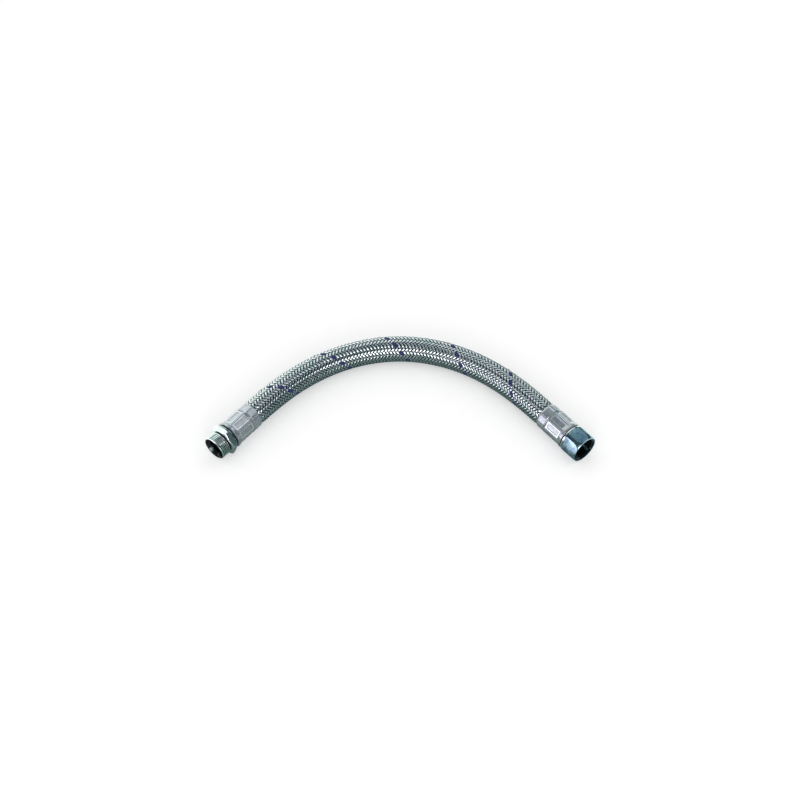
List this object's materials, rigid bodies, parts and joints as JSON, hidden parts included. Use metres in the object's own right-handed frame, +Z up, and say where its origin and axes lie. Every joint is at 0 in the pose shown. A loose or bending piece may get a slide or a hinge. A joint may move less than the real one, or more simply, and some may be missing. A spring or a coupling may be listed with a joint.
{
  "type": "anti-vibration hose",
  "caption": "Flexible hose in a woven metal sleeve, bent in an even curve, with a crimped threaded male end and a swivel nut at the other end.",
  "frame": {"origin": "middle of the swivel nut's lowest flat, on the surface that the hose lies on", "axes": "+X out of the nut's mouth along its axis, +Z up, so that the hose's bend lies in the XY plane"},
  "size_m": [0.3482, 0.3811, 0.0427],
  "materials": {
    "rubber": "matt black liner rubber",
    "braid_wire": "bright drawn stainless wire",
    "zinc_plate": "turned and zinc plated, faintly green",
    "pressed_steel": "pressed stainless steel, satin",
    "bright_plate": "bright plated",
    "gasket_rubber": "flat sealing ring, matt"
  },
  "bodies": {
    "hose": {"liner_tube": "rubber", "wire_braid": "braid_wire", "male_insert": "zinc_plate", "male_ferrule": "pressed_steel", "female_tail": "zinc_plate", "female_ferrule": "pressed_steel", "gasket": "gasket_rubber"},
    "nut": {"swivel_nut": "bright_plate"}
  },
  "joints": [
    {"name": "nut_swivel", "type": "hinge", "parent": "hose", "child": "nut", "pos_m": [0, 0, 0.019], "axis": [1, 0, 0], "continuous": true}
  ]
}
